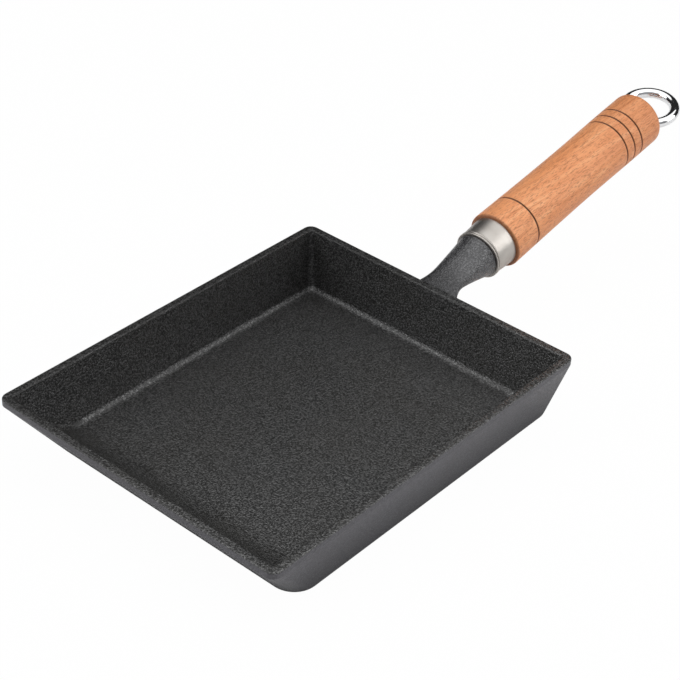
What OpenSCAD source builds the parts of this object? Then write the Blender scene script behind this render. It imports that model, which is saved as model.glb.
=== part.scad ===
// Rectangular cast-iron omelette pan with a turned beech grip on a steel tie rod.
// The front wall leans out far more than the other three.
// Origin: middle of the resting face. +X towards the grip, +Z up. Millimetres.

/* [Pan] */
// Length over the rim, along the grip
rim_length = 190.6; // [150:0.1:230]
// Width over the rim
rim_width = 152.6; // [110:0.1:190]
// Height from the resting face to the rim
pan_height = 32; // [26:0.5:42]
// Thickness of the walls at the rim
wall = 3.7; // [2.8:0.1:5]
// Height of the upright band outside, below the rim
lip_height = 3.1; // [1:0.1:6]
// Thickness of the floor
floor_thick = 4.8; // [3:0.1:6]
// How far the front wall draws in from the upright band to the base
front_inset = 21.8; // [8:0.1:30]
// How far the wall under the grip draws in
rear_inset = 5.2; // [4:0.1:14]
// How far each side wall draws in
side_inset = 6.6; // [4:0.1:14]
// Extra thickness at the foot of the front wall
front_swell = 0.2; // [0:0.1:2]
// Extra thickness at the foot of the wall under the grip
rear_swell = 2.2; // [0:0.1:3]
// Extra thickness at the foot of each side wall
side_swell = 1.4; // [0:0.1:3]
// Outer corner radius at the rim
rim_corner = 4.2; // [3:0.1:8]
// Outer radius of the two front corners at the base
front_corner = 11.8; // [8:0.1:14]
// Outer radius of the two rear corners at the base
rear_corner = 7; // [5:0.1:12]
// Inner corner radius at the rim
inner_corner_rim = 2; // [1.7:0.1:6]
// Inner corner radius at the floor
inner_corner_floor = 3.6; // [3.4:0.1:8]
// Radius of the outer bottom edge
bottom_round = 4.5; // [1.5:0.1:5]
// Radius between floor and walls
floor_fillet = 3.2; // [1.5:0.1:3.5]
// Radius of the long bend in which the floor runs up the front wall
front_bend = 26; // [4:1:50]
// Radius on both edges of the rim
rim_round = 0.6; // [0.3:0.05:1.2]

/* [Handle axis] */
// Height at which the axis of the handle crosses the middle of the pan
axis_height = 12.5; // [10:0.1:16]
// Upward pitch of the handle
pitch = 10.4; // [6:0.1:14]

/* [Neck] */
// Distance from the rear rim to the seat for the grip, along the handle axis
neck_reach = 29.9; // [24:0.1:40]
// Width of the neck at its narrowest
waist_width = 17; // [14.5:0.1:20]
// Thickness of the neck at its narrowest
waist_thick = 8.2; // [7.5:0.1:10]
// Extra width on each side where the neck meets the wall
root_flare = 6; // [2:0.1:9]
// Extra depth below where the neck meets the wall
root_drop = 6; // [2:0.1:8]
// Radius of the round seat that the grip pulls up against
seat_r = 11; // [10.5:0.1:12]
// Length of the plain round collar at the seat
seat_collar = 1.6; // [1:0.1:3]

/* [Tie rod] */
// Radius of the rod
rod_r = 3; // [2.5:0.1:3.5]
// How deep the rod is screwed into the neck
rod_engage = 13; // [9:0.5:15]
// Running gap between the rod and the ring's thread
thread_gap = 0.05; // [0.02:0.01:0.1]
// Spare depth of the tapped hole behind the rod
tap_spare = 1.5; // [0.5:0.1:2]
// Bevel on both ends of the rod
rod_bevel = 0.8; // [0.3:0.1:1]

/* [Ferrule] */
// Length of the ferrule
ferrule_length = 13; // [11:0.1:20]
// Outer radius of the ferrule at the grip
ferrule_r = 12.5; // [12.3:0.1:12.9]
// Outer radius of the ferrule at the neck
ferrule_front_r = 11.6; // [11.4:0.1:12.3]
// Thickness of its sheet
ferrule_sheet = 0.6; // [0.4:0.05:0.8]
// Radius of each of the two beads rolled at its front
bead_r = 0.5; // [0.4:0.05:0.7]
// How far the front lip turns in over the end of the wood
lip_depth = 2.6; // [2:0.1:4]

/* [Grip] */
// Length of the grip behind the ferrule
grip_length = 117.7; // [90:0.1:140]
// Radius of the grip near the ferrule
front_r = 14.15; // [13.6:0.05:15]
// Radius of the grip at its waist
waist_r = 13.6; // [13.2:0.05:14]
// Radius of the grip near its end
rear_r = 14; // [13.6:0.05:15]
// Bevel at the front of the grip
front_bevel = 1; // [0.5:0.1:1.6]
// Rounding at the end of the grip
end_round = 2.4; // [1.5:0.1:3]
// Width and depth of the turned grooves
groove = 0.8; // [0.5:0.1:1.2]
// Distance from the ferrule to the front groove
front_groove_at = 16; // [10:0.5:22]
// Distance from the end of the grip to the last groove
rear_groove_at = 16.8; // [12:0.1:22]
// Spacing of the three rear grooves
groove_pitch = 6.1; // [4:0.1:8]
// Gap between the rod and the bore of the grip
bore_gap = 0.4; // [0.3:0.05:0.6]
// Gap between the spigot of the grip and the ferrule
spigot_gap = 0.05; // [0.02:0.01:0.1]

/* [Hanging ring] */
// Radius of the ring, to the middle of its bar
ring_r = 12.5; // [11:0.1:13.5]
// Radius of the bar
ring_bar = 2.55; // [1.8:0.05:2.8]
// Distance from the end of the grip to the centre of the ring
ring_reach = 10.2; // [10:0.1:14]
// Roll of the ring about the handle axis
ring_roll = 3; // [-30:1:30]
// Radius of the threaded boss that carries the ring
boss_r = 5.2; // [4.6:0.1:6]
// Length of the boss
boss_length = 9; // [7:0.1:12]
// Gap round the ring and its boss in the end of the grip
ring_gap = 0.4; // [0.3:0.05:0.6]

/* [Hidden] */
$fn = 96;
corner_steps = 8;
edge_steps = 5;
bend_steps = 12;
neck_sides = 32;
neck_steps = 11;
cut_over = 1;
well_slope = 0.25;

// Positions along the handle axis, measured from where it crosses the middle of the pan
rear_at = (rim_length / 2 + (pan_height - axis_height) * tan(pitch)) * cos(pitch);
seat_at = rear_at + neck_reach;
wood_at = seat_at + ferrule_length;
end_at = wood_at + grip_length;
ring_at = end_at + ring_reach;
rod_from = seat_at - rod_engage;
boss_from = ring_at - ring_r - boss_length / 2;
rod_to = boss_from + boss_length - 2 * thread_gap;

// Everything on the handle axis is drawn along +Z and laid into place
module on_axis(at = 0) {
    translate([0, 0, axis_height]) rotate([0, 90 - pitch, 0]) translate([0, 0, at]) children();
}

// The outside leans in below its upright band; the inside leans in from the rim
slope_height = pan_height - lip_height;

// Inset at height z of a wall that draws in below height h and meets a flat at z0 in a radius r
function foot(z, z0, inset, r, h) =
    let(a = atan2(h, inset), at0 = inset * (1 - z0 / h))
    (z - z0 < r * (1 - cos(a)))
        ? at0 + r * tan(a / 2) - sqrt(max(0, r * r - (r - (z - z0)) * (r - (z - z0))))
        : inset * max(0, 1 - z / h);

// How far the rounding of the rim stands back at height z
function crown(z) =
    (z > pan_height - rim_round)
        ? rim_round - sqrt(max(0, rim_round * rim_round - pow(z - pan_height + rim_round, 2)))
        : 0;

// Corner radius at height z between its value at the base and at height h
function corner(z, low, high, h) = high + (low - high) * max(0, 1 - z / h);

// One level of the pan: a rectangle with round corners, their radii front_r and rear_r
function level(z, front, rear, side, front_r, rear_r) = [
    for (q = [0:3])
        for (k = [0:corner_steps])
            let(
                a = 90 * q + 90 * k / corner_steps,
                at_rear = q == 0 || q == 3,
                r = at_rear ? rear_r : front_r,
                cx = at_rear ? rim_length / 2 - rear - r : -rim_length / 2 + front + r,
                cy = (q < 2) ? rim_width / 2 - side - r : -rim_width / 2 + side + r
            )
            [cx + r * cos(a), cy + r * sin(a), z]
];

function outer_level(z) =
    let(
        back = crown(z),
        h = slope_height,
        side = foot(z, 0, side_inset, bottom_round, h),
        drawn = side - side_inset * max(0, 1 - z / h) + back
    )
    level(
        z,
        foot(z, 0, front_inset, bottom_round, h) + back,
        foot(z, 0, rear_inset, bottom_round, h) + back,
        side + back,
        corner(z, front_corner, rim_corner, h) - drawn,
        corner(z, rear_corner, rim_corner, h) - drawn
    );

// The bend ends below the rounding of the rim
front_lean = front_inset + front_swell;
front_turn = atan2(pan_height, front_lean);
bend_top = pan_height - 2 * rim_round;
bend_r = min(front_bend, (bend_top - floor_thick) / (1 - cos(front_turn)));

function inner_level(z) =
    let(
        back = crown(z),
        h = pan_height,
        inset = side_inset + side_swell,
        side = foot(z, floor_thick, inset, floor_fillet, h),
        drawn = side - inset * (1 - z / h) - back,
        r = max(0.6, corner(z, inner_corner_floor, inner_corner_rim, h) - drawn)
    )
    level(
        z,
        wall + foot(z, floor_thick, front_lean, bend_r, h) - back,
        wall + foot(z, floor_thick, rear_inset + rear_swell, floor_fillet, h) - back,
        wall + side - back,
        r,
        r
    );

// Heights that follow a round edge from its flat up to its wall
function foot_heights(z0, r) = [for (k = [0:edge_steps]) z0 + r * (1 - cos(90 * k / edge_steps))];
crown_heights = [for (k = [0:3]) pan_height - rim_round * (1 - sin(30 * k))];
bend_heights = [
    for (k = [bend_steps:-1:1])
        let(z = floor_thick + bend_r * (1 - cos(front_turn * k / bend_steps)))
        if (z > floor_thick + floor_fillet + rim_round && z < bend_top) z
];

// Closed skin through a stack of rings that all have n points
module skin(rings) {
    n = len(rings[0]);
    m = len(rings);
    polyhedron(
        points = [for (ring = rings) for (p = ring) p],
        faces = concat(
            [[for (i = [0:n - 1]) i]],
            [for (j = [0:m - 2]) for (i = [0:n - 1])
                [j * n + i, (j + 1) * n + i, j * n + (i + 1) % n]],
            [for (j = [0:m - 2]) for (i = [0:n - 1])
                [j * n + (i + 1) % n, (j + 1) * n + i, (j + 1) * n + (i + 1) % n]],
            [[for (i = [0:n - 1]) (m - 1) * n + n - 1 - i]]
        )
    );
}

module dish() {
    up = concat(foot_heights(0, bottom_round), [slope_height], crown_heights);
    down = concat(
        [for (k = [3:-1:0]) crown_heights[k]],
        bend_heights,
        [for (k = [edge_steps:-1:0]) foot_heights(floor_thick, floor_fillet)[k]]
    );
    skin(concat([for (z = up) outer_level(z)], [for (z = down) inner_level(z)]));
}

// Smooth step from 0 to 1
function ease(f) = let(g = min(1, max(0, f))) g * g * (3 - 2 * g);

// The neck runs from the middle of the rear wall, along its lean, to the round seat
neck_tuck = 0.5;
neck_end_at = seat_at - neck_tuck;
neck_end_r = seat_r - 0.2;
neck_end_z = axis_height + neck_end_at * sin(pitch);
neck_rise = neck_end_z + neck_end_r * cos(pitch) - pan_height;
neck_waist = 0.36;
neck_flush = 0.08;
waist_low = pan_height - waist_thick + neck_rise * neck_waist;
root_top = pan_height - neck_tuck;
root_low = waist_low - root_drop;
root_inset = rear_inset + rear_swell / 2;
root_lean = atan2(root_inset, pan_height);
neck_from = rim_length / 2 - wall / 2 - root_inset * (1 - (root_top + root_low) / 2 / pan_height);
neck_to = neck_end_at * cos(pitch);

function neck_ring(f) =
    let(
        tilt = pitch * f - root_lean * (1 - f),
        root = pow(max(0, 1 - f / neck_waist), 2.2),
        swell = pow(max(0, (f - neck_waist) / (1 - neck_waist)), 1.25),
        climb = max(0, (f - neck_flush) / (1 - neck_flush)),
        half_w = waist_width / 2 + root_flare * root + (neck_end_r - waist_width / 2) * swell,
        top = pan_height + (root_top - pan_height) * root + neck_rise * climb * (1.1 - 0.1 * climb),
        low_end = neck_end_z - neck_end_r * cos(pitch),
        bottom = waist_low - root_drop * root - (waist_low - low_end) * swell,
        half_h = (top - bottom) / 2 / cos(tilt),
        power = 2 / (2.5 - 0.5 * ease(f))
    )
    [for (i = [0:neck_sides - 1])
        let(
            a = -360 * i / neck_sides,
            y = half_w * sign(sin(a)) * pow(abs(sin(a)), power),
            v = half_h * sign(cos(a)) * pow(abs(cos(a)), power)
        )
        [neck_from + f * (neck_to - neck_from) - v * sin(tilt), y, (top + bottom) / 2 + v * cos(tilt)]
    ];

module neck() {
    skin([for (k = [0:neck_steps]) neck_ring(k / neck_steps)]);
    on_axis(seat_at - seat_collar) cylinder(h = seat_collar, r = seat_r);
}

module pan_body() {
    color("#38393b") difference() {
        union() {
            dish();
            neck();
        }
        on_axis(rod_from - tap_spare) cylinder(h = rod_engage + tap_spare + cut_over, r = rod_r);
    }
}

// Sleeve on the front of the grip, with two rolled beads and a turned-in lip
module ferrule() {
    color("#c9c6c1") on_axis(seat_at) rotate_extrude() {
        polygon([
            [ferrule_front_r - ferrule_sheet - lip_depth, 0],
            [ferrule_front_r, 0],
            [ferrule_r, ferrule_length],
            [ferrule_r - ferrule_sheet, ferrule_length],
            [ferrule_front_r - ferrule_sheet, ferrule_sheet],
            [ferrule_front_r - ferrule_sheet - lip_depth, ferrule_sheet]
        ]);
        for (k = [0:1])
            translate([ferrule_front_r, bead_r + k * 2.4 * bead_r]) circle(r = bead_r, $fn = 24);
    }
}

// Radius of the grip at distance s behind the ferrule
function grip_r(s) =
    let(f = s / grip_length)
    f < 0.5
        ? waist_r + (front_r - waist_r) * pow(1 - 2 * f, 1.6)
        : waist_r + (rear_r - waist_r) * ease((f - 0.5) / 0.38);

module groove_ring(s) {
    translate([grip_r(s), s]) rotate(45) square([groove, groove], center = true);
}

// Half profile of the grip, along the handle axis
module grip_profile() {
    spigot_r = ferrule_r - ferrule_sheet - spigot_gap;
    spigot_front_r = ferrule_front_r - ferrule_sheet - spigot_gap;
    spigot_from = ferrule_sheet + spigot_gap - ferrule_length;
    bulge_end = grip_length - end_round;
    polygon(concat(
        [[rod_r + bore_gap, spigot_from], [spigot_front_r - 0.5, spigot_from]],
        [[spigot_front_r, spigot_from + 0.5], [spigot_r, 0]],
        [[grip_r(0) - front_bevel, 0], [grip_r(front_bevel), front_bevel]],
        [for (k = [1:23]) let(s = front_bevel + k * (bulge_end - front_bevel) / 24) [grip_r(s), s]],
        [for (k = [0:6])
            [grip_r(bulge_end) - end_round * (1 - cos(15 * k)), bulge_end + end_round * sin(15 * k)]],
        [[rod_r + bore_gap, grip_length]]
    ));
}

module grip() {
    foot_r = ring_r + ring_bar;
    well_depth = ring_r + ring_bar - ring_reach + ring_gap;
    well_r = sqrt(foot_r * foot_r - ring_reach * ring_reach) + ring_gap;
    well_foot_r = well_r - well_depth * well_slope;
    boss_depth = end_at - boss_from + thread_gap;
    color("#d98f5f") difference() {
        on_axis(wood_at) rotate_extrude() difference() {
            grip_profile();
            groove_ring(front_groove_at);
            for (k = [0:2]) groove_ring(grip_length - rear_groove_at - k * groove_pitch);
        }
        on_axis(end_at - well_depth)
            cylinder(h = well_depth + cut_over, r1 = well_foot_r, r2 = well_r + cut_over * well_slope);
        on_axis(end_at - boss_depth) cylinder(h = boss_depth + cut_over, r = boss_r + ring_gap);
    }
}

module tie_rod() {
    plain = rod_to - rod_from - 2 * rod_bevel;
    color("#a9abad") on_axis(rod_from) {
        cylinder(h = rod_bevel, r1 = rod_r - rod_bevel, r2 = rod_r);
        translate([0, 0, rod_bevel]) cylinder(h = plain, r = rod_r);
        translate([0, 0, rod_bevel + plain]) cylinder(h = rod_bevel, r1 = rod_r, r2 = rod_r - rod_bevel);
    }
}

// Closed eye with a threaded boss that screws onto the tie rod
module hang_ring() {
    color("#d8dadc") difference() {
        union() {
            on_axis(ring_at) rotate([0, 0, ring_roll]) rotate([0, 90, 0])
                rotate_extrude() translate([ring_r, 0]) circle(r = ring_bar, $fn = 48);
            on_axis(boss_from) cylinder(h = boss_length, r = boss_r);
        }
        on_axis(boss_from - cut_over)
            cylinder(h = rod_to - boss_from + cut_over + thread_gap, r = rod_r + thread_gap);
    }
}

pan_body();
ferrule();
grip();
tie_rod();
hang_ring();
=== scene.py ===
import math
import bpy
import bmesh
from mathutils import Matrix, Vector


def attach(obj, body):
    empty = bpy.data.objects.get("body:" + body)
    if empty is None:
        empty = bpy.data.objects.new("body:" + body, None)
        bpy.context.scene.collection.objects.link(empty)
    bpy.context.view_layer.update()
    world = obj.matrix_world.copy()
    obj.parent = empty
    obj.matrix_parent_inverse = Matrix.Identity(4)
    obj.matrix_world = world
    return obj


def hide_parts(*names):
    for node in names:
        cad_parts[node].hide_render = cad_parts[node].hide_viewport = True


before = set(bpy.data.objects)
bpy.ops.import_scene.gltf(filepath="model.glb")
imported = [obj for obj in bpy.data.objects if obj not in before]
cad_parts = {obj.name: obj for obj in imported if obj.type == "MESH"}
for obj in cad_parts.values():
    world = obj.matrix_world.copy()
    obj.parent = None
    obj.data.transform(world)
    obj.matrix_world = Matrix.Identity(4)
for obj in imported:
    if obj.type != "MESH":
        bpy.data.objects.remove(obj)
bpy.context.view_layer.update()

MM = 0.001

# The dish and the handle axis; every size is in millimetres, the same as the construction's
RIM_LENGTH, RIM_WIDTH, PAN_HEIGHT = 190.6, 152.6, 32.0
WALL, FLOOR, LIP_HEIGHT = 3.7, 4.8, 3.1
SLOPE_HEIGHT = PAN_HEIGHT - LIP_HEIGHT
FRONT_INSET, REAR_INSET, SIDE_INSET = 21.8, 5.2, 6.6
INNER_FRONT_INSET, INNER_REAR_INSET, INNER_SIDE_INSET = 22.0, 7.4, 8.0
RIM_CORNER, FRONT_CORNER, REAR_CORNER = 4.2, 11.8, 7.0
INNER_CORNER_RIM, INNER_CORNER_FLOOR, CORNER_LEAST = 2.0, 3.6, 0.6
BOTTOM_ROUND, FLOOR_FILLET, RIM_ROUND, FRONT_BEND = 4.5, 3.2, 0.6, 26.0
AXIS_HEIGHT = 12.5
PITCH = math.radians(10.4)
NECK_REACH, FERRULE_LENGTH, GRIP_LENGTH, RING_REACH = 29.9, 13.0, 117.7, 10.2
REAR_AT = (RIM_LENGTH / 2 + (PAN_HEIGHT - AXIS_HEIGHT) * math.tan(PITCH)) * math.cos(PITCH)
SEAT_AT = REAR_AT + NECK_REACH
WOOD_AT = SEAT_AT + FERRULE_LENGTH
END_AT = WOOD_AT + GRIP_LENGTH
RING_AT = END_AT + RING_REACH

# The neck, from the rear wall to the round seat
WAIST_WIDTH, WAIST_THICK, ROOT_FLARE, ROOT_DROP = 17.0, 8.2, 6.0, 6.0
SEAT_R, SEAT_COLLAR = 11.0, 1.6
NECK_WAIST, NECK_FLUSH, NECK_TUCK = 0.36, 0.08, 0.5
ROD_R, ROD_HOLE_R, ROD_HOLE_DEPTH = 3.0, 3.02, 14.5

# Ferrule, grip and hanging ring
FERRULE_R, FERRULE_FRONT_R, FERRULE_SHEET = 12.5, 11.6, 0.6
BEAD_R, LIP_DEPTH = 0.5, 2.6
FRONT_R, WAIST_R, REAR_R = 14.15, 13.6, 14.0
FRONT_BEVEL, END_ROUND = 1.0, 2.4
GROOVE_AT = (16.0, 88.7, 94.8, 100.9)
GROOVE_HALF, GROOVE_DEPTH = 0.5657, 0.5
BORE_R, WELL_GAP, SNUG_GAP = 3.4, 0.4, 0.05
RING_R, RING_BAR, RING_ROLL = 12.5, 2.55, math.radians(3)
BOSS_R, BOSS_LENGTH = 5.2, 9.0
BOSS_FROM = RING_AT - RING_R - BOSS_LENGTH / 2


class Nodes:
    """A small wrapper that makes a material's nodes and links them."""

    def __init__(self, name):
        self.mat = bpy.data.materials.new(name)
        self.mat.use_nodes = True
        self.tree = self.mat.node_tree
        self.tree.nodes.clear()
        self.out = self.tree.nodes.new("ShaderNodeOutputMaterial")
        self.shader = self.tree.nodes.new("ShaderNodeBsdfPrincipled")
        self.join(self.shader.outputs[0], self.out.inputs["Surface"])
        self.coords = self.tree.nodes.new("ShaderNodeTexCoord").outputs["Object"]

    def join(self, a, b):
        self.tree.links.new(a, b)

    def mapping(self, scale=(1, 1, 1), rotation=(0, 0, 0), source=None):
        node = self.tree.nodes.new("ShaderNodeMapping")
        node.inputs["Scale"].default_value = scale
        node.inputs["Rotation"].default_value = rotation
        self.join(source or self.coords, node.inputs["Vector"])
        return node.outputs[0]

    def noise(self, vector, scale, detail=4.0, rough=0.55, distortion=0.0):
        node = self.tree.nodes.new("ShaderNodeTexNoise")
        node.inputs["Scale"].default_value = scale
        node.inputs["Detail"].default_value = detail
        node.inputs["Roughness"].default_value = rough
        node.inputs["Distortion"].default_value = distortion
        self.join(vector, node.inputs["Vector"])
        return node.outputs["Fac"]

    def ramp(self, fac, stops):
        node = self.tree.nodes.new("ShaderNodeValToRGB")
        node.color_ramp.elements[0].position = stops[0][0]
        node.color_ramp.elements[0].color = (*stops[0][1], 1)
        node.color_ramp.elements[1].position = stops[-1][0]
        node.color_ramp.elements[1].color = (*stops[-1][1], 1)
        for place, colour in stops[1:-1]:
            node.color_ramp.elements.new(place).color = (*colour, 1)
        self.join(fac, node.inputs["Fac"])
        return node.outputs["Color"]

    def span(self, fac, low, high, to_low=0.0, to_high=1.0):
        node = self.tree.nodes.new("ShaderNodeMapRange")
        node.inputs["From Min"].default_value = low
        node.inputs["From Max"].default_value = high
        node.inputs["To Min"].default_value = to_low
        node.inputs["To Max"].default_value = to_high
        self.join(fac, node.inputs["Value"])
        return node.outputs[0]

    def math(self, op, a, b=0.0):
        node = self.tree.nodes.new("ShaderNodeMath")
        node.operation = op
        for value, socket in ((a, node.inputs[0]), (b, node.inputs[1])):
            if isinstance(value, (int, float)):
                socket.default_value = value
            else:
                self.join(value, socket)
        return node.outputs[0]

    def mix(self, fac, a, b):
        node = self.tree.nodes.new("ShaderNodeMix")
        node.data_type = "RGBA"
        for value, socket in ((fac, node.inputs[0]), (a, node.inputs[6]), (b, node.inputs[7])):
            if isinstance(value, (int, float)):
                socket.default_value = value
            elif isinstance(value, tuple):
                socket.default_value = (*value, 1)
            else:
                self.join(value, socket)
        return node.outputs[2]

    def axis(self, vector, name):
        node = self.tree.nodes.new("ShaderNodeSeparateXYZ")
        self.join(vector, node.inputs[0])
        return node.outputs[name]

    def dot(self, vector, direction):
        node = self.tree.nodes.new("ShaderNodeVectorMath")
        node.operation = "DOT_PRODUCT"
        node.inputs[1].default_value = direction
        self.join(vector, node.inputs[0])
        return node.outputs["Value"]

    def bump(self, height, distance):
        node = self.tree.nodes.new("ShaderNodeBump")
        node.inputs["Distance"].default_value = distance
        node.inputs["Strength"].default_value = 1.0
        self.join(height, node.inputs["Height"])
        return node.outputs[0]

    def set(self, **values):
        names = {
            "colour": "Base Color", "rough": "Roughness", "normal": "Normal", "metal": "Metallic",
            "coat": "Coat Weight", "coat_rough": "Coat Roughness", "specular": "Specular IOR Level",
        }
        for key, value in values.items():
            socket = self.shader.inputs[names[key]]
            if isinstance(value, (int, float)):
                socket.default_value = value
            elif isinstance(value, tuple):
                socket.default_value = (*value, 1)
            else:
                self.join(value, socket)
        return self.mat


def cast_iron(name, grain, contrast, tint, rough, shine, painted_shade, rubbed=None):
    """Sand-cast iron: a fine pebbled grain with lighter tops over faint broad unevenness.

    The tuple after shine is (direction, start, end, part left at the start) of a painted shade that
    darkens the colour and the gloss, darkest at the start and gone at the end.
    rubbed is (low height, high height, front end, most) of a band in which the gloss stays.
    """
    n = Nodes(name)
    fine = n.noise(n.coords, 2800, 2, 0.6)
    coarse = n.noise(n.coords, 1300, 2, 0.5)
    broad = n.noise(n.coords, 28, 3, 0.5)
    tops = n.span(coarse, 0.42, 0.72)
    height = n.math("ADD", n.math("MULTIPLY", fine, 0.5), tops)
    low = tuple(c * (1 - 0.5 * contrast) for c in tint)
    high = tuple(c * (1 + 2 * contrast) for c in tint)
    speck = n.mix(tops, low, high)
    warm = tuple(c * k for c, k in zip(tint, (1.10, 1.0, 0.86)))
    colour = n.mix(n.span(broad, 0.35, 0.7, 0.0, 0.6), speck, n.mix(0.5, speck, warm))
    roughness = n.span(fine, 0.3, 0.7, rough - 0.07, rough + 0.09)
    gloss = n.span(tops, 0.0, 1.0, shine * (1 - 0.5 * contrast), shine * (1 + 1.5 * contrast))
    # Painted shade: the colour goes towards black and the gloss falls where the part left is low.
    direction, start, end, low_share = painted_shade
    unshaded = n.span(n.dot(n.coords, direction), start * MM, end * MM, low_share, 1.0)
    colour = n.mix(unshaded, (0.0, 0.0, 0.0), colour)
    if rubbed is not None:
        low_z, high_z, from_x, most = rubbed
        soft, soft_x = 0.3, 5
        z = n.axis(n.coords, "Z")
        over = n.span(z, (low_z - soft) * MM, (low_z + soft) * MM)
        under = n.span(z, (high_z - soft) * MM, (high_z + soft) * MM, most, 0.0)
        behind = n.span(n.axis(n.coords, "X"), (from_x - soft_x) * MM, (from_x + soft_x) * MM)
        band = n.math("MULTIPLY", n.math("MULTIPLY", over, under), behind)
        unshaded = n.math("MAXIMUM", unshaded, band)
    gloss = n.math("MULTIPLY", gloss, unshaded)
    return n.set(colour=colour, rough=roughness, specular=gloss, normal=n.bump(height, grain))


def beech():
    """Oiled beech: long streaks, dense short dark flecks, darker turned grooves, painted shade on the
    front bevel and a darker rear end.
    """
    n = Nodes("oiled_beech")
    local = n.mapping(rotation=(0, PITCH, 0))
    slant = n.mapping(rotation=(0, 0, math.radians(5)), source=local)
    x = n.axis(local, "X")
    streaks = n.noise(n.mapping((22, 520, 520), source=slant), 1.0, 4, 0.6, 0.25)
    bands = n.noise(n.mapping((9, 60, 60), source=slant), 1.0, 3, 0.5, 0.8)
    base = n.ramp(streaks, [
        (0.28, (0.71, 0.270, 0.106)), (0.5, (0.86, 0.362, 0.157)), (0.74, (0.94, 0.480, 0.242)),
    ])
    toned = n.mix(n.span(bands, 0.35, 0.68), base, n.mix(0.35, base, (0.70, 0.240, 0.088)))
    rays = n.noise(n.mapping((360, 2600, 2600), source=slant), 1.0, 2, 0.55)
    ray_mask = n.span(rays, 0.53, 0.61)
    flecked = n.mix(n.math("MULTIPLY", ray_mask, 0.55), toned, (0.36, 0.105, 0.036))
    lift = math.sin(PITCH) * AXIS_HEIGHT * MM
    # Darker colour in the four turned grooves.
    darkened = None
    for at in GROOVE_AT:
        gap = n.math("ABSOLUTE", n.math("SUBTRACT", x, (WOOD_AT + at) * MM + lift))
        line = n.span(gap, 0.0003, 0.0006, 1.0, 0.0)
        darkened = line if darkened is None else n.math("MAXIMUM", darkened, line)
    # Painted shade on the 1 mm front bevel, next to the ferrule.
    front = n.span(x, (WOOD_AT + 0.1) * MM + lift, (WOOD_AT + 1.1) * MM + lift, 0.6, 0.0)
    darkened = n.math("MAXIMUM", darkened, front)
    # Darker towards the rear end of the grip, from 70 mm on.
    rear_darker = n.span(x, (WOOD_AT + 70) * MM + lift, END_AT * MM + lift, 0.0, 0.35)
    flecked = n.mix(rear_darker, flecked, n.mix(0.7, flecked, (0.40, 0.125, 0.045)))
    colour = n.mix(darkened, flecked, (0.105, 0.030, 0.012))
    height = n.math("SUBTRACT", streaks, n.math("MULTIPLY", ray_mask, 0.6))
    return n.set(
        colour=colour, rough=n.span(streaks, 0.3, 0.7, 0.42, 0.54), specular=0.3,
        normal=n.bump(height, 0.0001), coat=0.2, coat_rough=0.35,
    )


def satin_nickel():
    """Nickel-plated sheet with faint polishing lines round the handle."""
    n = Nodes("satin_nickel")
    local = n.mapping(rotation=(0, PITCH, 0))
    lines = n.noise(n.mapping((5200, 60, 60), source=local), 1.0, 3, 0.6)
    haze = n.noise(n.coords, 160, 3, 0.5)
    colour = n.mix(n.span(haze, 0.3, 0.7), (0.47, 0.440, 0.406), (0.54, 0.512, 0.476))
    return n.set(
        colour=colour, metal=1.0, rough=n.span(lines, 0.3, 0.7, 0.34, 0.44),
        normal=n.bump(lines, 0.000008),
    )


def chrome():
    """Polished chrome with a trace of haze."""
    n = Nodes("polished_chrome")
    haze = n.noise(n.coords, 220, 3, 0.5)
    colour = n.mix(n.span(haze, 0.3, 0.7), (0.84, 0.845, 0.85), (0.9, 0.905, 0.91))
    return n.set(
        colour=colour, metal=1.0, rough=n.span(haze, 0.3, 0.7, 0.04, 0.09),
    )


def rod_steel():
    """Turned steel with a rolled thread, told by its rings."""
    n = Nodes("turned_steel")
    local = n.mapping(rotation=(0, PITCH, 0))
    turns = n.math("SINE", n.math("MULTIPLY", n.axis(local, "X"), 2 * math.pi / 0.001))
    wear = n.noise(n.coords, 400, 3, 0.5)
    colour = n.mix(n.span(wear, 0.3, 0.7), (0.42, 0.42, 0.43), (0.58, 0.58, 0.58))
    return n.set(
        colour=colour, metal=1.0, rough=n.span(wear, 0.3, 0.7, 0.3, 0.45),
        normal=n.bump(turns, 0.0002),
    )


def dress(node, material):
    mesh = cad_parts[node].data
    if len(mesh.materials) == 0:
        mesh.materials.append(material)
    for index in range(len(mesh.materials)):
        mesh.materials[index] = material


# Painted shade: colour and gloss fall to 0.53 towards the far walls; the rubbed band keeps the gloss
# along the floor fillets behind the front bend.
INSIDE = cast_iron(
    "cast_iron_grainy", 0.00016, 0.85, (0.0336, 0.0336, 0.0332), 0.28, 0.81,
    ((-0.3, -0.95, 0), -80, 54, 0.53), (5.1, 7.2, -63, 1.2),
)
# Painted shade at the neck's root: colour and gloss fall to 0.6 within the first 10 mm from the wall.
NECK = cast_iron(
    "cast_iron_neck", 0.00012, 0.45, (0.036, 0.036, 0.039), 0.25, 1.0, ((1, 0, 0), 99, 109, 0.6)
)
# Painted shade darker towards the base: colour and gloss fall to 0.4 at the bottom, for the shadowed
# floor that the lower walls reflect.
OUTSIDE = cast_iron(
    "cast_iron_smooth", 0.00004, 0.25, (0.055, 0.053, 0.062), 0.38, 0.62, ((0, 0, 1), 2, 30, 0.4)
)
NICKEL, BEECH, CHROME = satin_nickel(), beech(), chrome()
dress("pan_body", OUTSIDE)
dress("ferrule", NICKEL)
dress("grip", BEECH)
dress("tie_rod", rod_steel())
dress("hang_ring", CHROME)


# The casting, with finer rounds than the construction's and a grainy inside
def foot(z, base, inset, r, height):
    """Inset at height z of a wall that leans in below a height and meets a flat in a radius r."""
    turn = math.atan2(height, inset)
    if z - base < r * (1 - math.cos(turn)):
        reach = math.sqrt(max(0.0, r * r - (r - (z - base)) ** 2))
        return inset * (1 - base / height) + r * math.tan(turn / 2) - reach
    return inset * max(0.0, 1 - z / height)


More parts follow.
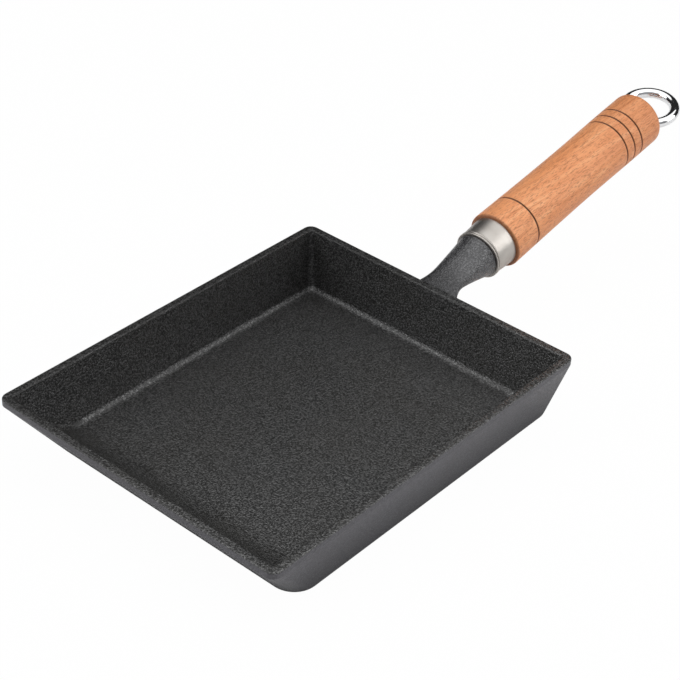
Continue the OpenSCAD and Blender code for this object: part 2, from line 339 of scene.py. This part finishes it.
def crown(z):
    """How far the rounding of the rim stands back at height z."""
    over = z - PAN_HEIGHT + RIM_ROUND
    if over <= 0:
        return 0.0
    return RIM_ROUND - math.sqrt(max(0.0, RIM_ROUND ** 2 - over ** 2))


def corner(z, low, high, height):
    """Corner radius at height z between its value at the base and at a height."""
    return high + (low - high) * max(0.0, 1 - z / height)


def level(z, front, rear, side, front_r, rear_r, steps=14):
    """One level of the pan: a rectangle with round corners."""
    ring = []
    for quarter in range(4):
        at_rear = quarter in (0, 3)
        r = rear_r if at_rear else front_r
        cx = RIM_LENGTH / 2 - rear - r if at_rear else -RIM_LENGTH / 2 + front + r
        cy = RIM_WIDTH / 2 - side - r if quarter < 2 else -RIM_WIDTH / 2 + side + r
        for k in range(steps + 1):
            a = math.pi / 2 * (quarter + k / steps)
            ring.append((cx + r * math.cos(a), cy + r * math.sin(a), z))
    return ring


def outer_level(z):
    back = crown(z)
    front, rear, side = (
        foot(z, 0, inset, BOTTOM_ROUND, SLOPE_HEIGHT) for inset in (FRONT_INSET, REAR_INSET, SIDE_INSET)
    )
    drawn = side - SIDE_INSET * max(0.0, 1 - z / SLOPE_HEIGHT) + back
    return level(
        z, front + back, rear + back, side + back,
        corner(z, FRONT_CORNER, RIM_CORNER, SLOPE_HEIGHT) - drawn,
        corner(z, REAR_CORNER, RIM_CORNER, SLOPE_HEIGHT) - drawn,
    )


def inner_level(z):
    back = crown(z)
    front, rear, side = (
        WALL - back + foot(z, FLOOR, inset, bend, PAN_HEIGHT)
        for inset, bend in (
            (INNER_FRONT_INSET, FRONT_BEND),
            (INNER_REAR_INSET, FLOOR_FILLET),
            (INNER_SIDE_INSET, FLOOR_FILLET),
        )
    )
    drawn = side - WALL - INNER_SIDE_INSET * (1 - z / PAN_HEIGHT)
    r = max(CORNER_LEAST, corner(z, INNER_CORNER_FLOOR, INNER_CORNER_RIM, PAN_HEIGHT) - drawn)
    return level(z, front, rear, side, r, r)


def skin(bm, rings, slots):
    """Quads through a stack of rings; slots gives the material of each band."""
    rows = [[bm.verts.new([c * MM for c in p]) for p in ring] for ring in rings]
    count = len(rings[0])
    for j, slot in enumerate(slots):
        for i in range(count):
            k = (i + 1) % count
            face = bm.faces.new((rows[j][i], rows[j][k], rows[j + 1][k], rows[j + 1][i]))
            face.material_index = slot
            face.smooth = True
    return rows


def new_piece(name, bm, materials, body, node):
    mesh = bpy.data.meshes.new(name)
    bm.to_mesh(mesh)
    bm.free()
    for material in materials:
        mesh.materials.append(material)
    obj = bpy.data.objects.new(name, mesh)
    bpy.context.scene.collection.objects.link(obj)
    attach(obj, body)
    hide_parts(node)
    return obj


def cooking_dish():
    steps, rim_steps, wall_steps, bend_steps = 16, 8, 6, 40
    edge = 0.4
    quarter = [k / steps * math.pi / 2 for k in range(steps + 1)]
    up = [BOTTOM_ROUND * (1 - math.cos(a)) for a in quarter]
    down = [FLOOR + FLOOR_FILLET * (1 - math.cos(a)) for a in quarter]
    rim = [
        PAN_HEIGHT - RIM_ROUND * (1 - math.sin(k / rim_steps * math.pi / 2))
        for k in range(rim_steps + 1)
    ]
    walls_from, walls_to = BOTTOM_ROUND + 2, SLOPE_HEIGHT - 1
    walls = [walls_from + k * (walls_to - walls_from) / wall_steps for k in range(wall_steps + 1)]
    walls += [SLOPE_HEIGHT - edge, SLOPE_HEIGHT, SLOPE_HEIGHT + edge]
    inner_walls = [
        down[-1] + k * (PAN_HEIGHT - RIM_ROUND - down[-1]) / bend_steps for k in range(1, bend_steps)
    ]
    outer_z = up + walls + rim
    inner_z = rim[::-1] + inner_walls[::-1] + down[::-1]
    rings = [outer_level(z) for z in outer_z] + [inner_level(z) for z in inner_z]
    bands = len(rings) - 1
    slots = [0 if j < len(outer_z) - len(rim) else 1 for j in range(bands)]
    bm = bmesh.new()
    rows = skin(bm, rings, slots)
    bm.faces.new(rows[0][::-1])
    inside = bm.faces.new(rows[-1])
    inside.material_index = 1
    bmesh.ops.recalc_face_normals(bm, faces=bm.faces)
    return new_piece("cooking_dish", bm, (OUTSIDE, INSIDE), "pan", "pan_body")


def ease(f):
    g = min(1.0, max(0.0, f))
    return g * g * (3 - 2 * g)


def power_of(value, power):
    return math.copysign(abs(value) ** power, value)


def neck_ring(f, sides):
    """One section of the neck, from the middle of the rear wall (0) to the round seat (1)."""
    end_at = SEAT_AT - NECK_TUCK
    end_r = SEAT_R - 0.2
    end_z = AXIS_HEIGHT + end_at * math.sin(PITCH)
    rise = end_z + end_r * math.cos(PITCH) - PAN_HEIGHT
    waist_low = PAN_HEIGHT - WAIST_THICK + rise * NECK_WAIST
    root_top = PAN_HEIGHT - NECK_TUCK
    root_low = waist_low - ROOT_DROP
    root_inset = (REAR_INSET + INNER_REAR_INSET) / 2
    start = RIM_LENGTH / 2 - WALL / 2 - root_inset * (1 - (root_top + root_low) / 2 / PAN_HEIGHT)
    root_lean = math.atan2(root_inset, PAN_HEIGHT)
    tilt = PITCH * f - root_lean * (1 - f)
    root = max(0.0, 1 - f / NECK_WAIST) ** 2.2
    swell = max(0.0, (f - NECK_WAIST) / (1 - NECK_WAIST)) ** 1.25
    climb = max(0.0, (f - NECK_FLUSH) / (1 - NECK_FLUSH))
    half_w = WAIST_WIDTH / 2 + ROOT_FLARE * root + (end_r - WAIST_WIDTH / 2) * swell
    top = PAN_HEIGHT + (root_top - PAN_HEIGHT) * root + rise * climb * (1.1 - 0.1 * climb)
    low_end = end_z - end_r * math.cos(PITCH)
    bottom = waist_low - ROOT_DROP * root - (waist_low - low_end) * swell
    half_h = (top - bottom) / 2 / math.cos(tilt)
    power = 2 / (2.5 - 0.5 * ease(f))
    x0 = start + f * (end_at * math.cos(PITCH) - start)
    ring = []
    for i in range(sides):
        a = 2 * math.pi * i / sides
        y = half_w * power_of(math.sin(a), power)
        v = half_h * power_of(math.cos(a), power)
        ring.append((x0 - v * math.sin(tilt), y, (top + bottom) / 2 + v * math.cos(tilt)))
    return ring


def seat_ring(at, r, sides):
    ring = []
    for i in range(sides):
        a = 2 * math.pi * i / sides
        v = r * math.cos(a)
        ring.append((
            at * math.cos(PITCH) - v * math.sin(PITCH),
            r * math.sin(a),
            AXIS_HEIGHT + at * math.sin(PITCH) + v * math.cos(PITCH),
        ))
    return ring


def cast_neck():
    sides, steps = 72, 44
    last = 1 - SEAT_COLLAR / NECK_REACH
    rings = [neck_ring(last * k / steps, sides) for k in range(steps + 1)]
    for at, r in (
        (-SEAT_COLLAR * 0.6, SEAT_R - 0.12), (-SEAT_COLLAR * 0.45, SEAT_R - 0.02),
        (-0.4, SEAT_R), (-0.12, SEAT_R - 0.1), (0.0, SEAT_R - 0.35), (0.0, SEAT_R - 4),
        (0.0, ROD_HOLE_R), (-ROD_HOLE_DEPTH, ROD_HOLE_R),
    ):
        rings.append(seat_ring(SEAT_AT + at, r, sides))
    bm = bmesh.new()
    rows = skin(bm, rings, [0] * (len(rings) - 1))
    bm.faces.new(rows[0])
    bm.faces.new(rows[-1])
    bmesh.ops.recalc_face_normals(bm, faces=bm.faces)
    return new_piece("cast_neck", bm, (NECK,), "pan", "pan_body")


def lathe(bm, start_at, profile, sides=144, closed=True):
    """A turned form on the handle axis; profile is (radius, distance behind start_at)."""
    rows = []
    for r, at in profile:
        rows.append([bm.verts.new([c * MM for c in p]) for p in seat_ring(start_at + at, r, sides)])
    pairs = len(rows) if closed else len(rows) - 1
    for j in range(pairs):
        low, high = rows[j], rows[(j + 1) % len(rows)]
        for i in range(sides):
            k = (i + 1) % sides
            bm.faces.new((low[i], low[k], high[k], high[i])).smooth = True


def crisp(obj, degrees=35):
    """Smooth shading that keeps the edges sharper than this."""
    obj.data.set_sharp_from_angle(angle=math.radians(degrees))
    return obj


def rolled_ferrule():
    """Tapered sleeve with two rolled beads and a turned-in lip."""
    def outer(at):
        return FERRULE_FRONT_R + (FERRULE_R - FERRULE_FRONT_R) * at / FERRULE_LENGTH

    profile = [(FERRULE_FRONT_R - FERRULE_SHEET - LIP_DEPTH, 0.0), (FERRULE_FRONT_R - 0.4, 0.0)]
    for bead in range(2):
        middle = BEAD_R * (1 + 2.4 * bead)
        for k in range(9):
            a = math.pi * (k / 8)
            at = middle - BEAD_R * math.cos(a)
            profile.append((max(outer(at), FERRULE_FRONT_R + BEAD_R * math.sin(a)), at))
    profile += [(outer(at), at) for at in (2.9, 5.0, 8.0, 11.0, FERRULE_LENGTH - 0.15)]
    profile += [(FERRULE_R - 0.15, FERRULE_LENGTH), (FERRULE_R - FERRULE_SHEET, FERRULE_LENGTH)]
    profile += [
        (FERRULE_FRONT_R - FERRULE_SHEET, FERRULE_SHEET),
        (FERRULE_FRONT_R - FERRULE_SHEET - LIP_DEPTH, FERRULE_SHEET),
    ]
    bm = bmesh.new()
    lathe(bm, SEAT_AT, profile)
    bmesh.ops.recalc_face_normals(bm, faces=bm.faces)
    crisp(new_piece("rolled_ferrule", bm, (NICKEL,), "pan", "ferrule"))


def grip_radius(at):
    f = at / GRIP_LENGTH
    if f < 0.5:
        return WAIST_R + (FRONT_R - WAIST_R) * (1 - 2 * f) ** 1.6
    return WAIST_R + (REAR_R - WAIST_R) * ease((f - 0.5) / 0.38)


def turned_grip():
    """The grip with soft bevels, four V grooves and the well for the ring's foot."""
    spigot_r = FERRULE_R - FERRULE_SHEET - SNUG_GAP
    spigot_front_r = FERRULE_FRONT_R - FERRULE_SHEET - SNUG_GAP
    spigot_from = FERRULE_SHEET + SNUG_GAP - FERRULE_LENGTH
    spigot_bevel = 0.5
    profile = [
        (BORE_R, spigot_from), (spigot_front_r - spigot_bevel, spigot_from),
        (spigot_front_r, spigot_from + spigot_bevel),
    ]
    profile += [(spigot_r, 0.0), (grip_radius(0) - FRONT_BEVEL, 0.0)]
    profile += [
        (grip_radius(FRONT_BEVEL) - FRONT_BEVEL * (1 - math.sin(a)), FRONT_BEVEL * (1 - math.cos(a)))
        for a in (math.pi / 2 * k / 6 for k in range(1, 7))
    ]
    bulge_end = GRIP_LENGTH - END_ROUND
    bulge_from, bulge_steps = FRONT_BEVEL + 2, 56
    stops = [bulge_from + k * (bulge_end - bulge_from) / bulge_steps for k in range(bulge_steps + 1)]
    stops = [at for at in stops if all(abs(at - g) > GROOVE_HALF + 0.25 for g in GROOVE_AT)]
    flank = ((0.2, GROOVE_DEPTH), (0.85, 0.12), (1.0, 0.02), (1.25, 0))
    cuts = [
        (g + way * away * GROOVE_HALF, grip_radius(g) - deep)
        for g in GROOVE_AT for way in (-1, 1) for away, deep in flank
    ]
    body = sorted([(at, grip_radius(at)) for at in stops] + cuts)
    profile += [(r, at) for at, r in body]
    profile += [
        (grip_radius(bulge_end) - END_ROUND * (1 - math.cos(a)), bulge_end + END_ROUND * math.sin(a))
        for a in (math.pi / 2 * k / 10 for k in range(1, 11))
    ]
    foot_r = RING_R + RING_BAR
    depth = foot_r - RING_REACH + WELL_GAP
    mouth_r = math.sqrt(foot_r ** 2 - RING_REACH ** 2) + WELL_GAP
    boss_to = BOSS_FROM - WOOD_AT - SNUG_GAP
    profile += [
        (mouth_r, GRIP_LENGTH), (mouth_r - depth * 0.25, GRIP_LENGTH - depth),
        (BOSS_R + WELL_GAP, GRIP_LENGTH - depth), (BOSS_R + WELL_GAP, boss_to), (BORE_R, boss_to),
    ]
    bm = bmesh.new()
    lathe(bm, WOOD_AT, profile)
    bmesh.ops.recalc_face_normals(bm, faces=bm.faces)
    crisp(new_piece("turned_grip", bm, (BEECH,), "pan", "grip"), 40)


def hanging_eye():
    """A closed round eye that grows out of its threaded foot."""
    bm = bmesh.new()
    u = Vector((math.cos(PITCH), 0, math.sin(PITCH)))
    side = Vector((0, 1, 0))
    upright = Vector((-math.sin(PITCH), 0, math.cos(PITCH)))
    across = side * math.cos(RING_ROLL) + upright * math.sin(RING_ROLL)
    out = upright * math.cos(RING_ROLL) - side * math.sin(RING_ROLL)
    centre = Vector((0, 0, AXIS_HEIGHT)) + u * RING_AT
    turns, sides = 144, 40
    rows = []
    for j in range(turns):
        a = 2 * math.pi * j / turns
        spoke = u * math.cos(a) + across * math.sin(a)
        row = []
        for i in range(sides):
            b = 2 * math.pi * i / sides
            p = centre + spoke * (RING_R + RING_BAR * math.cos(b)) + out * (RING_BAR * math.sin(b))
            row.append(bm.verts.new(p * MM))
        rows.append(row)
    for j in range(turns):
        low, high = rows[j], rows[(j + 1) % turns]
        for i in range(sides):
            k = (i + 1) % sides
            bm.faces.new((low[i], low[k], high[k], high[i])).smooth = True
    lathe(bm, BOSS_FROM, [
        (ROD_R + SNUG_GAP, 0.0), (BOSS_R - 0.5, 0.0), (BOSS_R, 0.5), (BOSS_R, BOSS_LENGTH - 1.2),
        (BOSS_R - 0.15, BOSS_LENGTH - 0.6), (BOSS_R - 0.6, BOSS_LENGTH - 0.15),
        (BOSS_R - 1.2, BOSS_LENGTH), (0.6, BOSS_LENGTH), (0.6, BOSS_LENGTH - SNUG_GAP),
        (ROD_R + SNUG_GAP, BOSS_LENGTH - SNUG_GAP),
    ], sides=96)
    bmesh.ops.recalc_face_normals(bm, faces=bm.faces)
    crisp(new_piece("hanging_eye", bm, (CHROME,), "ring", "hang_ring"), 40)


cooking_dish()
cast_neck()
rolled_ferrule()
turned_grip()
hanging_eye()


# Stage: a plain pale floor that reads as pure white, and a white surround seen only by the camera
FLOOR_HALF, FLOOR_DROP, FLOOR_TONE, FLOOR_SEEN_WHITE = 3.0, 0.0002, 0.86, 0.98
LAMP_DISTANCE = 1.5
STUDIO_TINT, STUDIO_FROM = (0.96, 0.97, 1.0), (-0.55, -0.45, 0.70)
STUDIO_DARK, STUDIO_BRIGHT = (0.1, 0.02), (0.9, 0.35)


def floor():
    mesh = bpy.data.meshes.new("floor")
    half = FLOOR_HALF
    mesh.from_pydata(
        [(-half, -half, 0), (half, -half, 0), (half, half, 0), (-half, half, 0)], [], [(0, 1, 2, 3)]
    )
    obj = bpy.data.objects.new("floor", mesh)
    bpy.context.scene.collection.objects.link(obj)
    obj.location.z = -FLOOR_DROP
    mat = bpy.data.materials.new("floor_white")
    mat.use_nodes = True
    tree = mat.node_tree
    tree.nodes.clear()
    out = tree.nodes.new("ShaderNodeOutputMaterial")
    diffuse = tree.nodes.new("ShaderNodeBsdfDiffuse")
    diffuse.inputs["Color"].default_value = (FLOOR_TONE, FLOOR_TONE, FLOOR_TONE, 1)
    glow = tree.nodes.new("ShaderNodeEmission")
    glow.inputs["Strength"].default_value = 1.0
    path = tree.nodes.new("ShaderNodeLightPath")
    seen = tree.nodes.new("ShaderNodeMath")
    seen.operation = "MULTIPLY"
    seen.inputs[1].default_value = FLOOR_SEEN_WHITE
    mix = tree.nodes.new("ShaderNodeMixShader")
    tree.links.new(path.outputs["Is Camera Ray"], seen.inputs[0])
    tree.links.new(seen.outputs[0], mix.inputs[0])
    tree.links.new(diffuse.outputs[0], mix.inputs[1])
    tree.links.new(glow.outputs[0], mix.inputs[2])
    tree.links.new(mix.outputs[0], out.inputs["Surface"])
    mesh.materials.append(mat)


def surround():
    """White to the camera; otherwise a dim studio that is dark behind the pan."""
    world = bpy.data.worlds.new("studio")
    bpy.context.scene.world = world
    world.use_nodes = True
    tree = world.node_tree
    tree.nodes.clear()
    out = tree.nodes.new("ShaderNodeOutputWorld")
    seen = tree.nodes.new("ShaderNodeBackground")
    seen.inputs["Color"].default_value = (1, 1, 1, 1)
    lit = tree.nodes.new("ShaderNodeBackground")
    lit.inputs["Color"].default_value = (*STUDIO_TINT, 1)
    toward = tree.nodes.new("ShaderNodeTexCoord")
    facing = tree.nodes.new("ShaderNodeVectorMath")
    facing.operation = "DOT_PRODUCT"
    facing.inputs[1].default_value = STUDIO_FROM
    glow = tree.nodes.new("ShaderNodeMapRange")
    glow.inputs["From Min"].default_value = STUDIO_DARK[0]
    glow.inputs["From Max"].default_value = STUDIO_BRIGHT[0]
    glow.inputs["To Min"].default_value = STUDIO_DARK[1]
    glow.inputs["To Max"].default_value = STUDIO_BRIGHT[1]
    tree.links.new(toward.outputs["Generated"], facing.inputs[0])
    tree.links.new(facing.outputs["Value"], glow.inputs["Value"])
    tree.links.new(glow.outputs[0], lit.inputs["Strength"])
    path = tree.nodes.new("ShaderNodeLightPath")
    mix = tree.nodes.new("ShaderNodeMixShader")
    tree.links.new(path.outputs["Is Camera Ray"], mix.inputs[0])
    tree.links.new(lit.outputs[0], mix.inputs[1])
    tree.links.new(seen.outputs[0], mix.inputs[2])
    tree.links.new(mix.outputs[0], out.inputs["Surface"])


def softbox(name, azimuth, elevation, size, power):
    """A soft rectangular lamp that looks at the middle of the object from an angle in degrees."""
    data = bpy.data.lights.new(name, "AREA")
    data.shape = "RECTANGLE"
    data.size, data.size_y = size
    data.energy = power
    obj = bpy.data.objects.new(name, data)
    bpy.context.scene.collection.objects.link(obj)
    a, e = math.radians(azimuth), math.radians(elevation)
    away = Vector((math.cos(e) * math.cos(a), math.cos(e) * math.sin(a), math.sin(e)))
    obj.location = Vector((0.06, 0, 0.02)) + away * LAMP_DISTANCE
    obj.rotation_euler = (-away).to_track_quat("-Z", "Y").to_euler()


def camera():
    """The camera that was worked out from the rim, the base and the grooves of the photo."""
    azimuth, elevation, roll = (math.radians(a) for a in (-50.86, 35.21, -3.28))
    distance, across, down = 758.67, -20.42, 41.33
    focal_px, frame_px, sensor = 1773.73, 680.0, 36.0
    back = Vector((
        math.sin(azimuth) * math.cos(elevation),
        -math.cos(azimuth) * math.cos(elevation),
        math.sin(elevation),
    ))
    ahead = -back
    right = ahead.cross(Vector((0, 0, 1))).normalized()
    low = ahead.cross(right)
    right_rolled = math.cos(roll) * right + math.sin(roll) * low
    low_rolled = -math.sin(roll) * right + math.cos(roll) * low
    place = (back * distance - right_rolled * across - low_rolled * down) * MM
    data = bpy.data.cameras.new("camera")
    data.sensor_width = sensor
    data.sensor_fit = "HORIZONTAL"
    data.lens = focal_px / frame_px * sensor
    data.clip_start, data.clip_end = 0.01, 50
    obj = bpy.data.objects.new("camera", data)
    bpy.context.scene.collection.objects.link(obj)
    turn = Matrix((right_rolled, -low_rolled, back)).transposed().to_4x4()
    obj.matrix_world = Matrix.Translation(place) @ turn
    bpy.context.scene.camera = obj


floor()
surround()
camera()
softbox("softbox_above", -50, 86, (2.35, 2.4), 21.0)
softbox("softbox_right", -55, 27, (0.9, 1.1), 7.1)
softbox("softbox_left", 140, 34, (1.0, 1.0), 6.8)
bpy.context.scene.view_settings.view_transform = "Standard"
